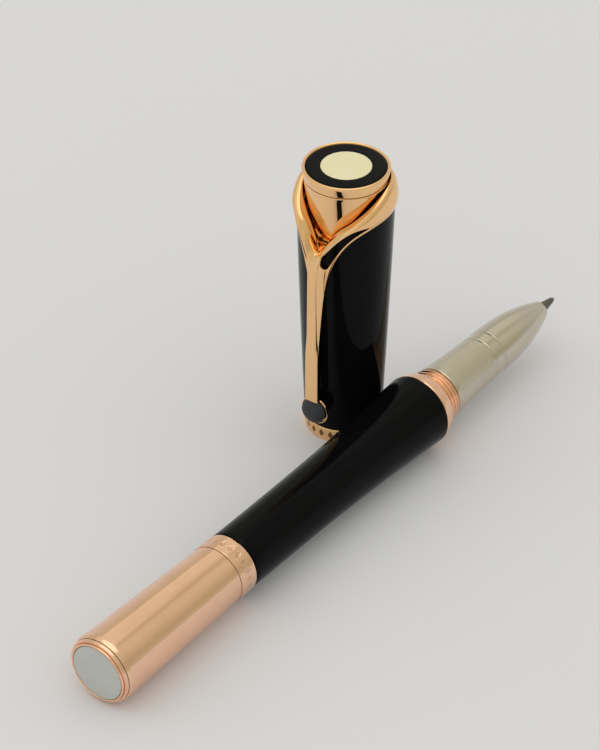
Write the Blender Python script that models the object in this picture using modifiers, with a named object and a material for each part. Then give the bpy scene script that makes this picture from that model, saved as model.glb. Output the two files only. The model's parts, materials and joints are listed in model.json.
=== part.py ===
"""Rollerball pen lying on a table with its cap standing beside it.

Metres, +Z up, table at z = 0.  The pen lies along +X with its writing tip at +X.
Most pieces are turned: a profile of (radius, station) points in millimetres is spun
about a local Z axis.  Pen stations are measured from the rear end towards the tip,
cap stations from the open mouth upwards.  Turned profiles run down their outer side,
from the high station to the low one, and back up the bore.
"""
import math

import bmesh
import bpy
from mathutils import Matrix

MM = 0.001
SEGMENTS = 36
COARSE_SEGMENTS = 20
WELD = 1e-7
GAP = 0.2

# Pen body, millimetres
PEN_LENGTH = 124.0
REAR_RADIUS = 5.92
REAR_RIM_STATION = 1.9
DISC_RADIUS = 4.8
SLEEVE_END = 29.2
SLEEVE_END_RADIUS = 5.16
RING_END = 33.3
RING_RADIUS = 5.28
BARREL_REAR_RADIUS = 5.17
BARREL_END = 83.2
BARREL_FRONT_RADIUS = 6.47
BARREL_FLARE_POWER = 2.8
FRONT_RING_END = 85.7
FRONT_RING_RADIUS = 5.82
THREAD_END = 88.95
THREAD_RADIUS = 4.88
THREAD_DEPTH = 0.32
THREAD_TURNS = 3
LINER_OUTER = 4.1
LINER_BORE = 3.35
LINER_END = 73.6
SHELL_BORE = LINER_OUTER + GAP

# Grip section
SECTION_SPLIT = 103.6
SECTION_REAR_RADIUS = 4.86
SECTION_FRONT_RADIUS = 4.24
GROOVE_STATION = 100.9
GROOVE_HALF_WIDTH = 0.18
GROOVE_DEPTH = 0.16
NOSE_END = 120.0
NOSE_END_RADIUS = 1.55
NOSE_POWER = 1.9
SECTION_BUSH_RADIUS = 3.72
SECTION_BUSH_BORE = 3.2
SECTION_BUSH_REAR = 79.0

# Refill: standard long rollerball cartridge, 110.5 mm
REFILL_LENGTH = 110.5
REFILL_RADIUS = 2.95
REFILL_WALL = 0.25
REFILL_REAR = PEN_LENGTH - REFILL_LENGTH
REFILL_SHOULDER = 111.6
BALL_RADIUS = 0.35
SPRING_REAR = 6.3
SPRING_RADIUS = 2.35
SPRING_WIRE = 0.2
SPRING_TURNS = 6
PLUG_LOW = 1.15
PLUG_HIGH = 4.6
PLUG_BOSS = 6.1
OUTER_THREAD_CLEARANCE = 0.12

# Cap, millimetres above its open mouth
CAP_HEIGHT = 52.0
RIM_RADIUS = 6.54
RIM_HEIGHT = 2.64
RIM_BORE = 5.95
CAP_SHELL_TOP = 45.0
CAP_MID_HEIGHT = 26.0
CAP_MID_RADIUS = 7.54
CAP_TOP_RADIUS = 8.12
CAP_BORE = 6.35
CAP_LINER_OUTER = 6.15
CAP_LINER_BORE = 5.85
INNER_CAP_RADIUS = 5.6
INNER_CAP_BORE = 5.2
INNER_CAP_TOP = 39.3
BUSH_TOP = 9.0
CONE_TOP = 50.0
CONE_TOP_RADIUS = 7.0
CONE_BASE = 40.4
CONE_BASE_RADIUS = 5.7
STUD_RADIUS = 1.5
STUD_TOP = 45.0
BEZEL_RADIUS = 7.2
BEZEL_BORE = 6.95
DISC_SEAT = 51.0
TOP_DISC_RADIUS = 6.75
INLAY_RADIUS = 4.2

# Collar: a V-necked band round the cap's head
COLLAR_STEPS = 48
COLLAR_RADIUS = 8.75
COLLAR_FRONT_RADIUS = 9.5
COLLAR_BORE = 8.32
COLLAR_LIP_RADIUS = 7.5
COLLAR_TOP = 50.6
COLLAR_BASE_BACK = 45.4
COLLAR_BASE_FRONT = 38.8
NECK_TIP = 40.6
NECK_SLOPE_DEG = 110.0
SWEEP_DROP = 19.9
SWEEP_DEG = 20.3
NOTCH_TIP = 38.5
NOTCH_STEEPNESS = 1.12

# Clip: blade hanging from the collar, with a round stone in a shallow cup at its end
CLIP_TOP = 38.4
CLIP_END = 9.9
CLIP_FACE = 9.75
CLIP_BACK = 8.8
CLIP_HALF_WIDTH = 1.25
CLIP_BEVEL = 0.25
CLIP_FAN = 1.8
STONE_HEIGHT = 7.55
STONE_RADIUS = 2.25
STONE_FACE = 10.0
STONE_GIRDLE = 9.1
CUP_RADIUS = 2.65
CUP_FACE = 8.7
CUP_FLOOR = 8.3
CUP_BACK = 7.9

# Placing
CAP_OFFSET = 13.3
CAP_STATION = 80.1
CLIP_DIRECTION_DEG = 182.8

PEN_TILT = math.atan2(BARREL_FRONT_RADIUS - REAR_RADIUS, BARREL_END - REAR_RIM_STATION)
PEN_Y = -(CAP_OFFSET + COLLAR_RADIUS - BARREL_FRONT_RADIUS) / 2
PEN_X = -PEN_LENGTH * math.cos(PEN_TILT) / 2
PEN_Z = REAR_RADIUS * math.cos(PEN_TILT) - REAR_RIM_STATION * math.sin(PEN_TILT)

COLOURS = {
    "rose_gold": ((0.78, 0.48, 0.33), 1.0, 0.18),
    "yellow_gold": ((0.80, 0.52, 0.27), 1.0, 0.16),
    "champagne": ((0.62, 0.58, 0.47), 1.0, 0.28),
    "brass": ((0.70, 0.52, 0.25), 1.0, 0.35),
    "steel": ((0.55, 0.55, 0.55), 1.0, 0.3),
    "tip_steel": ((0.18, 0.17, 0.15), 1.0, 0.35),
    "black_lacquer": ((0.006, 0.006, 0.007), 0.0, 0.08),
    "pale_disc": ((0.62, 0.63, 0.60), 0.0, 0.2),
    "cream": ((0.83, 0.78, 0.58), 0.0, 0.3),
    "dark_stone": ((0.03, 0.03, 0.035), 0.0, 0.12),
    "black_plastic": ((0.02, 0.02, 0.02), 0.0, 0.5),
    "white_plastic": ((0.8, 0.8, 0.78), 0.0, 0.5),
    "ink_fibre": ((0.02, 0.03, 0.12), 0.0, 0.9),
    "rubber": ((0.015, 0.015, 0.015), 0.0, 0.8),
}


def clear_scene():
    for obj in list(bpy.data.objects):
        bpy.data.objects.remove(obj, do_unlink=True)


def make_collection(name):
    collection = bpy.data.collections.new(name)
    bpy.context.scene.collection.children.link(collection)
    return collection


def material(name):
    if name in bpy.data.materials:
        return bpy.data.materials[name]
    colour, metallic, roughness = COLOURS[name]
    result = bpy.data.materials.new(name)
    result.use_nodes = True
    shader = result.node_tree.nodes["Principled BSDF"]
    shader.inputs["Base Color"].default_value = (*colour, 1.0)
    shader.inputs["Metallic"].default_value = metallic
    shader.inputs["Roughness"].default_value = roughness
    return result


def add_object(name, data, finish, parent, collection):
    data.materials.append(material(finish))
    obj = bpy.data.objects.new(name, data)
    obj.parent = parent
    collection.objects.link(obj)
    return obj


def add_empty(name, collection, matrix, parent=None):
    empty = bpy.data.objects.new(name, None)
    collection.objects.link(empty)
    empty.parent = parent
    empty.matrix_world = matrix
    return empty


def spin(obj, steps):
    screw = obj.modifiers.new("spin", "SCREW")
    screw.axis = "Z"
    screw.steps = steps
    screw.render_steps = steps
    screw.use_merge_vertices = True
    screw.merge_threshold = WELD


def turned(name, outer, bore, finish, parent, collection, steps=SEGMENTS):
    """Spin a profile: outer points run down, bore points run back up (none for a solid)."""
    points = list(outer) + list(bore)
    mesh = bpy.data.meshes.new(name)
    edges = [(i, i + 1) for i in range(len(points) - 1)]
    if bore:
        edges.append((len(points) - 1, 0))
    mesh.from_pydata([(r * MM, 0.0, z * MM) for r, z in points], edges, [])
    obj = add_object(name, mesh, finish, parent, collection)
    spin(obj, steps)
    return obj


def tube(name, low, high, outer_radius, bore_radius, finish, parent, collection):
    """A plain turned sleeve between two stations."""
    outer = [(outer_radius, high), (outer_radius, low)]
    bore = [(bore_radius, low), (bore_radius, high)]
    return turned(name, outer, bore, finish, parent, collection)


def round_shoulder(radius, station, fillet, direction, steps=3):
    """Quarter-round edge at a station: +1 rounds a high end, -1 a low end."""
    points = []
    for i in range(steps + 1):
        angle = math.pi / 2 * i / steps
        inset = fillet * (1 - math.sin(angle))
        back = fillet * (1 - math.cos(angle))
        points.append((radius - inset, station - direction * back))
    return points if direction > 0 else points[::-1]


# ---------------------------------------------------------------- pen barrel

def barrel_radius(station):
    part = (station - RING_END) / (BARREL_END - RING_END)
    flare = max(0.0, part) ** BARREL_FLARE_POWER
    return BARREL_REAR_RADIUS + (BARREL_FRONT_RADIUS - BARREL_REAR_RADIUS) * flare


def sleeve_radius(station):
    part = (station - REAR_RIM_STATION) / (SLEEVE_END - REAR_RIM_STATION)
    return REAR_RADIUS + (SLEEVE_END_RADIUS - REAR_RADIUS) * part


def add_rear_end(pen, parts):
    """Pale disc, stepped bezel, long sleeve and engraved ring at the rear."""
    dome = [(0.0, 0.95), (DISC_RADIUS, 0.95), (DISC_RADIUS, 0.55), (3.4, 0.18), (1.8, 0.05), (0.0, 0.0)]
    turned("end_disc", dome, [], "pale_disc", pen, parts)
    bezel = [(5.45, 1.3), (5.6, 1.05), (5.45, 0.8), (5.2, 0.7), (5.15, 0.45), (4.95, 0.3)]
    bore = [(DISC_RADIUS + 0.05, 0.35), (DISC_RADIUS + 0.05, 1.3)]
    turned("end_bezel", bezel, bore, "rose_gold", pen, parts)
    sleeve = [(SLEEVE_END_RADIUS, SLEEVE_END), (REAR_RADIUS, REAR_RIM_STATION)]
    sleeve += [(REAR_RADIUS - 0.15, REAR_RIM_STATION - 0.35)]
    bore = [(SHELL_BORE, REAR_RIM_STATION - 0.35), (SHELL_BORE, SLEEVE_END)]
    turned("rear_sleeve", sleeve, bore, "rose_gold", pen, parts)
    low = SLEEVE_END + GAP
    high = RING_END - GAP
    ring = [(RING_RADIUS - 0.1, high), (RING_RADIUS, high - 0.3)]
    ring += [(RING_RADIUS, low + 0.3), (RING_RADIUS - 0.1, low)]
    bore = [(SHELL_BORE, low), (SHELL_BORE, high)]
    turned("rear_ring", ring, bore, "rose_gold", pen, parts)


def add_barrel(pen, parts):
    """Black shell over a brass liner that is closed by the rear plug."""
    stations = [BARREL_END, 81.0, 77.0, 71.0, 63.0, 52.0, RING_END]
    outer = [(barrel_radius(s), s) for s in stations]
    bore = [(SHELL_BORE, RING_END), (SHELL_BORE, BARREL_END)]
    turned("barrel_shell", outer, bore, "black_lacquer", pen, parts)
    tube("barrel_liner", PLUG_HIGH + GAP, LINER_END, LINER_OUTER, LINER_BORE, "brass", pen, parts)
    plug = [(0.0, PLUG_BOSS), (SPRING_RADIUS, PLUG_BOSS), (SPRING_RADIUS + 0.4, PLUG_HIGH)]
    plug += [(LINER_OUTER, PLUG_HIGH), (LINER_OUTER, PLUG_LOW), (0.0, PLUG_LOW)]
    turned("rear_plug", plug, [], "brass", pen, parts)


def thread_ridges(low, high, radius, depth, turns):
    """Ridges of a coarse thread, as profile points running down."""
    pitch = (high - low) / turns
    points = []
    for turn in range(turns):
        crest = high - pitch * turn
        points.append((radius - depth, crest))
        points.append((radius, crest - pitch * 0.35))
        points.append((radius, crest - pitch * 0.65))
    points.append((radius - depth, low))
    return points


def add_barrel_front(pen, parts):
    """Conical ring and the threaded bush that takes the cap and the section."""
    low = BARREL_END + 0.15
    ring = [(FRONT_RING_RADIUS, FRONT_RING_END), (BARREL_FRONT_RADIUS - 0.1, low + 0.3)]
    ring += [(BARREL_FRONT_RADIUS - 0.2, low)]
    bore = [(SHELL_BORE + 0.15, low), (SHELL_BORE + 0.15, FRONT_RING_END)]
    turned("front_ring", ring, bore, "rose_gold", pen, parts)
    flange = FRONT_RING_END + GAP
    bush = thread_ridges(flange + 0.3, THREAD_END, THREAD_RADIUS, THREAD_DEPTH, THREAD_TURNS)
    bush += [(THREAD_RADIUS - THREAD_DEPTH, flange), (LINER_OUTER, flange)]
    bush += [(LINER_OUTER, LINER_END + GAP)]
    wall = SECTION_BUSH_RADIUS + OUTER_THREAD_CLEARANCE
    step = SECTION_BUSH_REAR - 0.6
    bore = [(LINER_BORE, LINER_END + GAP), (LINER_BORE, step), (wall, step), (wall, THREAD_END)]
    turned("barrel_bush", bush, bore, "rose_gold", pen, parts)


# -------------------------------------------------------------- grip section

def nose_radius(station):
    part = (station - SECTION_SPLIT) / (NOSE_END - SECTION_SPLIT)
    return SECTION_FRONT_RADIUS - (SECTION_FRONT_RADIUS - NOSE_END_RADIUS) * part ** NOSE_POWER


def grip_radius(station):
    part = (station - THREAD_END) / (SECTION_SPLIT - THREAD_END)
    ease = part * (2 - part)
    return SECTION_REAR_RADIUS + (SECTION_FRONT_RADIUS - SECTION_REAR_RADIUS) * ease


def add_section(section, parts):
    """Grip tube with its turned groove, nose cone and the threaded tail inside the barrel."""
    low = THREAD_END + GAP
    high = SECTION_SPLIT - GAP / 2
    outer = [(grip_radius(high), high)]
    for offset, depth in ((1, 0), (0.4, GROOVE_DEPTH), (-0.4, GROOVE_DEPTH), (-1, 0)):
        station = GROOVE_STATION + offset * GROOVE_HALF_WIDTH
        outer.append((grip_radius(station) - depth, station))
    outer += [(grip_radius(s), s) for s in (97.0, 93.0, low)]
    bore = [(SECTION_BUSH_RADIUS + 0.1, low), (SECTION_BUSH_RADIUS + 0.1, high)]
    turned("grip_section", outer, bore, "champagne", section, parts)

    stations = [NOSE_END, 119.3, 117.5, 115.0, 112.0, 108.0, SECTION_SPLIT + GAP / 2]
    outer = [(nose_radius(s), s) for s in stations]
    outer[0] = (NOSE_END_RADIUS - 0.25, NOSE_END)
    bore = [(SECTION_BUSH_BORE, SECTION_SPLIT + GAP / 2), (SECTION_BUSH_BORE - 0.05, 107.4)]
    bore += [(2.45, 107.9), (2.3, REFILL_SHOULDER), (1.28, REFILL_SHOULDER + 0.3), (1.22, NOSE_END)]
    turned("nose_cone", outer, bore, "champagne", section, parts)

    seat = 83.2
    outer = [(SECTION_BUSH_RADIUS, high - 0.6), (SECTION_BUSH_RADIUS, seat + 0.7)]
    outer += [(SECTION_BUSH_RADIUS - 0.35, seat + 0.7), (SECTION_BUSH_RADIUS - 0.35, seat - 0.7)]
    outer += [(SECTION_BUSH_RADIUS, seat - 0.7), (SECTION_BUSH_RADIUS, SECTION_BUSH_REAR)]
    bore = [(SECTION_BUSH_BORE, SECTION_BUSH_REAR), (SECTION_BUSH_BORE, high - 0.6)]
    turned("section_tail", outer, bore, "brass", section, parts)
    return seat


def add_oring(carrier, parts, seat):
    """Rubber ring in the tail's groove; it only slides, so it carries the section's travel."""
    mid = SECTION_BUSH_RADIUS - 0.12
    half = 0.14
    outer = []
    bore = []
    for i in range(5):
        angle = math.pi * i / 4
        outer.append((mid + half * math.sin(angle) * 1.2, seat + half * 2 * math.cos(angle)))
    for i in range(1, 4):
        angle = math.pi + math.pi * i / 4
        bore.append((mid + half * math.sin(angle) * 0.6, seat + half * 2 * math.cos(angle)))
    turned("section_oring", outer, bore, "rubber", carrier, parts)


# -------------------------------------------------------------------- refill

def add_refill(refill, parts):
    """Cartridge: tail plug, tube, ink fibre, neck and steel point."""
    tube_rear = REFILL_REAR + 2.4
    tube_front = 99.4
    tail = [(0.0, tube_rear - GAP), (REFILL_RADIUS, tube_rear - GAP), (REFILL_RADIUS, REFILL_REAR)]
    tail += [(1.75, REFILL_REAR), (1.6, REFILL_REAR - 1.8), (0.0, REFILL_REAR - 1.8)]
    turned("refill_tail", tail, [], "black_plastic", refill, parts)
    tube("refill_tube", tube_rear, tube_front, REFILL_RADIUS, REFILL_RADIUS - REFILL_WALL,
         "steel", refill, parts)
    core = REFILL_RADIUS - REFILL_WALL - 0.15
    fibre = [(0.0, 97.0), (core, 97.0), (core, tube_rear + 0.3), (0.0, tube_rear + 0.3)]
    turned("ink_fibre", fibre, [], "ink_fibre", refill, parts, COARSE_SEGMENTS)
    low = tube_front + GAP
    outer = [(1.9, REFILL_SHOULDER - 0.15), (2.1, 108.2), (2.4, 107.2), (REFILL_RADIUS, 106.2)]
    outer += [(REFILL_RADIUS, low)]
    bore = [(0.85, low), (0.85, REFILL_SHOULDER - 0.15)]
    turned("refill_neck", outer, bore, "white_plastic", refill, parts)
    socket = BALL_RADIUS + 0.05
    end = PEN_LENGTH - BALL_RADIUS - 0.12
    outer = [(socket + 0.1, end), (1.02, NOSE_END + 0.3), (1.1, NOSE_END - 1.5)]
    outer += [(1.1, REFILL_SHOULDER + 0.35), (0.72, REFILL_SHOULDER + 0.35), (0.72, 104.0)]
    bore = [(0.25, 104.0), (0.25, end - 0.75), (socket, end - 0.5), (socket, end)]
    turned("refill_point", outer, bore, "tip_steel", refill, parts, COARSE_SEGMENTS)


def add_ball(ball, parts):
    mesh = bpy.data.meshes.new("writing_ball")
    shape = bmesh.new()
    bmesh.ops.create_uvsphere(shape, u_segments=12, v_segments=8, radius=BALL_RADIUS * MM)
    shape.to_mesh(mesh)
    shape.free()
    add_object("writing_ball", mesh, "steel", ball, parts)


def add_spring(pen, parts):
    """Compression spring between the rear plug and the refill's tail."""
    front = REFILL_REAR - 0.25
    coil = bpy.data.curves.new("refill_spring", "CURVE")
    coil.dimensions = "3D"
    coil.bevel_depth = SPRING_WIRE * MM
    coil.bevel_resolution = 1
    coil.use_fill_caps = True
    spline = coil.splines.new("POLY")
    count = SPRING_TURNS * 12
    spline.points.add(count)
    rise = front - SPRING_REAR - 2 * SPRING_WIRE
    for i, point in enumerate(spline.points):
        part = i / count
        angle = 2 * math.pi * SPRING_TURNS * part
        height = SPRING_REAR + SPRING_WIRE + rise * part
        x = SPRING_RADIUS * math.cos(angle)
        y = SPRING_RADIUS * math.sin(angle)
        point.co = (x * MM, y * MM, height * MM, 1.0)
    add_object("refill_spring", coil, "steel", pen, parts)


# ----------------------------------------------------------------------- cap

def cap_radius(height):
    """The cap flares from its rim to its head, quickly at first and slower above."""
    if height < CAP_MID_HEIGHT:
        part = height / CAP_MID_HEIGHT
        return RIM_RADIUS + (CAP_MID_RADIUS - RIM_RADIUS) * part
    part = (height - CAP_MID_HEIGHT) / (CAP_SHELL_TOP - CAP_MID_HEIGHT)
    return CAP_MID_RADIUS + (CAP_TOP_RADIUS - CAP_MID_RADIUS) * part


def notch_height(angle):
    """Top edge of the black shell at an angle from the clip: a V in front, level behind."""
    if abs(angle) >= math.pi / 2:
        return CAP_SHELL_TOP
    side = abs(math.sin(angle)) * CAP_TOP_RADIUS
    return min(CAP_SHELL_TOP, NOTCH_TIP + NOTCH_STEEPNESS * side)


def add_notch_cutter(cap, cutters):
    """A cube on edge, stretched upwards, that cuts the V in the front of the shell."""
    side = 20.0 * MM
    shape = bmesh.new()
    bmesh.ops.create_cube(shape, size=side)
    bmesh.ops.rotate(shape, verts=shape.verts, matrix=Matrix.Rotation(math.pi / 4, 3, "X"))
    bmesh.ops.scale(shape, verts=shape.verts, vec=(1.0, 1.0, NOTCH_STEEPNESS))
    lift = NOTCH_TIP * MM + side / math.sqrt(2) * NOTCH_STEEPNESS
    bmesh.ops.translate(shape, verts=shape.verts, vec=(side / 2, 0.0, lift))
    mesh = bpy.data.meshes.new("notch_cutter")
    shape.to_mesh(mesh)
    shape.free()
    cutter = bpy.data.objects.new("notch_cutter", mesh)
    cutter.parent = cap
    cutter.hide_render = True
    cutter.display_type = "WIRE"
    cutters.objects.link(cutter)
    return cutter


def add_cap_body(cap, parts, cutters):
    """Rim ring, black shell, liner, thread bush and the plastic inner cap."""
    outer = [(cap_radius(RIM_HEIGHT), RIM_HEIGHT), (RIM_RADIUS, 0.0)]
    bore = [(RIM_BORE, 0.0), (RIM_BORE, RIM_HEIGHT)]
    turned("cap_rim_ring", outer, bore, "yellow_gold", cap, parts)

    low = RIM_HEIGHT + GAP
    heights = [CAP_SHELL_TOP, 36.0, CAP_MID_HEIGHT, 12.0, low]
    outer = [(cap_radius(height), height) for height in heights]
    bore = [(CAP_BORE, low), (CAP_BORE, CAP_SHELL_TOP)]
    shell = turned("cap_shell", outer, bore, "black_lacquer", cap, parts)
    cut = shell.modifiers.new("neck", "BOOLEAN")
    cut.operation = "DIFFERENCE"
    cut.object = add_notch_cutter(cap, cutters)

    add_cap_lining(cap, parts)


def add_cap_lining(cap, parts):
    """Thread bush, liner tube and the plastic inner cap that seals the writing tip."""
    low = RIM_HEIGHT + 2 * GAP
    foot = 0.9
    thread = THREAD_RADIUS + 0.25
    barrel = CAP_LINER_BORE - GAP
    outer = [(barrel, BUSH_TOP + 1.0), (barrel, low), (barrel + 0.1, foot)]
    inner = [(thread, foot), (thread, BUSH_TOP), (INNER_CAP_BORE, BUSH_TOP + 1.0)]
    turned("cap_thread_bush", outer, inner, "brass", cap, parts)
    tube("cap_liner", low, INNER_CAP_TOP - 0.8, CAP_LINER_OUTER, CAP_LINER_BORE, "brass", cap, parts)
    top = INNER_CAP_TOP
    mouth = BUSH_TOP + 1.0 + GAP
    wall = [(0.0, top), (INNER_CAP_RADIUS, top), (INNER_CAP_RADIUS, mouth), (INNER_CAP_BORE, mouth)]
    wall += [(INNER_CAP_BORE, top - 3.0), (3.0, top - 0.3), (0.0, top - 0.3)]
    turned("inner_cap", wall, [], "black_plastic", cap, parts)


def add_cap_head(cap, parts):
    """Head plate, the stud that holds the head, and the cone round the stud."""
    low = INNER_CAP_TOP + GAP
    hole = STUD_RADIUS + 0.15
    tube("head_plate", low, CONE_BASE - GAP, CAP_BORE - GAP, hole, "brass", cap, parts)
    chamfer = 0.3
    stud = [(0.0, STUD_TOP), (STUD_RADIUS - chamfer, STUD_TOP), (STUD_RADIUS, STUD_TOP - chamfer)]
    stud += [(STUD_RADIUS, low), (0.0, low)]
    turned("head_stud", stud, [], "steel", cap, parts, COARSE_SEGMENTS)
    cone = [(0.0, CONE_TOP), (CONE_TOP_RADIUS, CONE_TOP), (CONE_BASE_RADIUS, CONE_BASE)]
    cone += [(hole, CONE_BASE), (hole, STUD_TOP + 0.3), (0.0, STUD_TOP + 0.3)]
    turned("cap_cone", cone, [], "yellow_gold", cap, parts)


def add_cap_top(cap, parts):
    """Bezel, black disc and round inlay closing the cap's top."""
    low = CONE_TOP + GAP / 2
    rim = CAP_HEIGHT + 0.1
    ledge = DISC_SEAT - 0.15
    bezel = [(BEZEL_BORE, rim), (BEZEL_RADIUS - 0.05, rim), (BEZEL_RADIUS, CAP_HEIGHT - 0.1)]
    bezel += [(CONE_TOP_RADIUS + 0.05, low + 0.2), (CONE_TOP_RADIUS - 0.1, low)]
    bore = [(TOP_DISC_RADIUS - 0.6, low), (TOP_DISC_RADIUS - 0.6, ledge), (BEZEL_BORE, ledge)]
    turned("cap_top_bezel", bezel, bore, "yellow_gold", cap, parts)
    seat = CAP_HEIGHT - 0.35
    pocket = INLAY_RADIUS + 0.05
    disc = [(0.0, seat), (pocket, seat), (pocket, CAP_HEIGHT), (TOP_DISC_RADIUS, CAP_HEIGHT)]
    disc += [(TOP_DISC_RADIUS, DISC_SEAT), (0.0, DISC_SEAT)]
    turned("cap_top_disc", disc, [], "black_lacquer", cap, parts)
    inlay = [(0.0, CAP_HEIGHT), (INLAY_RADIUS, CAP_HEIGHT), (INLAY_RADIUS, seat + 0.1), (0.0, seat + 0.1)]
    turned("cap_top_inlay", inlay, [], "cream", cap, parts)


def collar_section(angle):
    """Cross-section of the band at an angle from the clip, as (radius, height) points."""
    away = abs(math.degrees(angle))
    base = COLLAR_BASE_BACK - SWEEP_DROP * math.exp(-away / SWEEP_DEG)
    base = max(base, COLLAR_BASE_FRONT)
    full_rise = COLLAR_TOP - NECK_TIP
    climb = full_rise * (1 - math.exp(-away / NECK_SLOPE_DEG))
    climb *= 1 + 0.45 * min(away, 90.0) / 90.0
    top = min(COLLAR_TOP, NECK_TIP + climb * 1.35)
    rise = top - base
    knee = max(notch_height(angle) + 0.25, base + 0.3)
    knee = min(knee, top - 0.3)
    front = math.exp(-((away / 22.0) ** 2))
    bulge = COLLAR_RADIUS + (COLLAR_FRONT_RADIUS - COLLAR_RADIUS) * front
    lip = COLLAR_LIP_RADIUS
    return [
        (COLLAR_BORE, base),
        (COLLAR_BORE + 0.25, base),
        (bulge, base + 0.4 * rise),
        (bulge, base + 0.6 * rise),
        (lip + 0.6, top),
        (lip + 0.05, top),
        (COLLAR_BORE, knee),
    ]


def skin_rings(name, rings, closed):
    """Join equal point rings into one skin; open lofts get an end face each."""
    shape = bmesh.new()
    rows = [[shape.verts.new(point) for point in ring] for ring in rings]
    count = len(rows[0])
    last = len(rows) if closed else len(rows) - 1
    for i in range(last):
        here = rows[i]
        there = rows[(i + 1) % len(rows)]
        for j in range(count):
            k = (j + 1) % count
            shape.faces.new((here[j], here[k], there[k], there[j]))
    if not closed:
        shape.faces.new(rows[0])
        shape.faces.new(rows[-1][::-1])
    bmesh.ops.recalc_face_normals(shape, faces=shape.faces)
    mesh = bpy.data.meshes.new(name)
    shape.to_mesh(mesh)
    shape.free()
    return mesh


def add_collar(cap, parts):
    rings = []
    for step in range(COLLAR_STEPS):
        angle = 2 * math.pi * step / COLLAR_STEPS
        signed = angle if angle <= math.pi else angle - 2 * math.pi
        ring = []
        for radius, height in collar_section(signed):
            x = radius * math.cos(angle)
            y = radius * math.sin(angle)
            ring.append((x * MM, y * MM, height * MM))
        rings.append(ring)
    add_object("cap_collar", skin_rings("cap_collar", rings, True), "yellow_gold", cap, parts)


def clip_half_width(height):
    """The blade is narrow below and fans out into the collar at its root."""
    spread = math.exp(-(CLIP_TOP - height) / 2.6)
    return CLIP_HALF_WIDTH + CLIP_FAN * spread


def add_clip(clip, parts):
    """Blade and stone; local Z is height above the hinge, local X points outwards."""
    reach = CLIP_FACE - CLIP_BACK
    root_back = COLLAR_BORE - CLIP_BACK
    heights = [CLIP_TOP, 37.4, 36.0, 34.0, 31.0, 24.0, CLIP_END + 1.5, CLIP_END]
    rings = []
    for height in heights:
        half = clip_half_width(height)
        lean = math.exp(-(CLIP_TOP - height) / 2.0)
        back = root_back * lean
        face = reach - 0.25 * lean
        ring = [(back, -half), (face - CLIP_BEVEL, -half), (face, -half + CLIP_BEVEL)]
        ring += [(face, half - CLIP_BEVEL), (face - CLIP_BEVEL, half), (back, half)]
        rings.append([(x * MM, y * MM, (height - CLIP_TOP) * MM) for x, y in ring])
    add_object("clip_blade", skin_rings("clip_blade", rings, False), "yellow_gold", clip, parts)


def add_stone(clip, parts):
    """Domed stone in a shallow cup, both facing outwards; profiles are (radius, reach) points."""
    outward = Matrix.Rotation(math.pi / 2, 4, "Y")
    drop = (STONE_HEIGHT - CLIP_TOP) * MM
    seat = Matrix.Translation((-CLIP_BACK * MM, 0.0, drop)) @ outward
    pocket = STONE_RADIUS + 0.08
    lip = [(pocket, CUP_FACE), (CUP_RADIUS, CUP_FACE), (CUP_RADIUS, CUP_FLOOR)]
    cup = [(0.0, CUP_FLOOR), (pocket, CUP_FLOOR)] + lip + [(CUP_RADIUS - 0.6, CUP_BACK), (0.0, CUP_BACK)]
    setting = turned("stone_setting", cup, [], "yellow_gold", clip, parts)
    setting.matrix_local = seat
    dome = [(0.0, STONE_FACE)]
    steps = 4
    for i in range(1, steps + 1):
        angle = math.pi / 2 * i / steps
        reach = STONE_GIRDLE + (STONE_FACE - STONE_GIRDLE) * math.cos(angle)
        dome.append((STONE_RADIUS * math.sin(angle), reach))
    dome += [(STONE_RADIUS, CUP_FLOOR + 0.1), (0.0, CUP_FLOOR + 0.1)]
    stone = turned("clip_stone", dome, [], "dark_stone", clip, parts)
    stone.matrix_local = seat


def main():
    clear_scene()
    parts = make_collection("rollerball_pen")
    cutters = make_collection("cutters")

    lie_down = Matrix.Rotation(math.pi / 2 - PEN_TILT, 4, "Y")
    pen_place = Matrix.Translation((PEN_X * MM, PEN_Y * MM, PEN_Z * MM)) @ lie_down
    pen = add_empty("pen_axis", parts, pen_place)
    carrier = add_empty("section_carrier_axis", parts, pen_place, pen)
    section = add_empty("section_axis", parts, pen_place, carrier)
    refill = add_empty("refill_axis", parts, pen_place, carrier)
    ball_place = pen_place @ Matrix.Translation((0.0, 0.0, (PEN_LENGTH - BALL_RADIUS) * MM))
    ball = add_empty("ball_axis", parts, ball_place, refill)

    add_rear_end(pen, parts)
    add_barrel(pen, parts)
    add_barrel_front(pen, parts)
    add_spring(pen, parts)
    seat = add_section(section, parts)
    add_oring(carrier, parts, seat)
    add_refill(refill, parts)
    add_ball(ball, parts)

    cap_x = (PEN_X + CAP_STATION) * MM
    turn = Matrix.Rotation(math.radians(CLIP_DIRECTION_DEG), 4, "Z")
    cap_place = Matrix.Translation((cap_x, (PEN_Y + CAP_OFFSET) * MM, 0.0)) @ turn
    cap = add_empty("cap_axis", parts, cap_place)
    clip_place = cap_place @ Matrix.Translation((CLIP_BACK * MM, 0.0, CLIP_TOP * MM))
    clip = add_empty("clip_axis", parts, clip_place, cap)
    add_cap_body(cap, parts, cutters)
    add_cap_head(cap, parts)
    add_cap_top(cap, parts)
    add_collar(cap, parts)
    add_clip(clip, parts)
    add_stone(clip, parts)

    bpy.context.view_layer.update()
    for obj in parts.objects:
        if obj.type == "MESH":
            obj.data.shade_smooth()


main()
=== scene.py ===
import json
import math

import bmesh
import bpy
import numpy as np
from mathutils import Matrix, Vector

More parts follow.
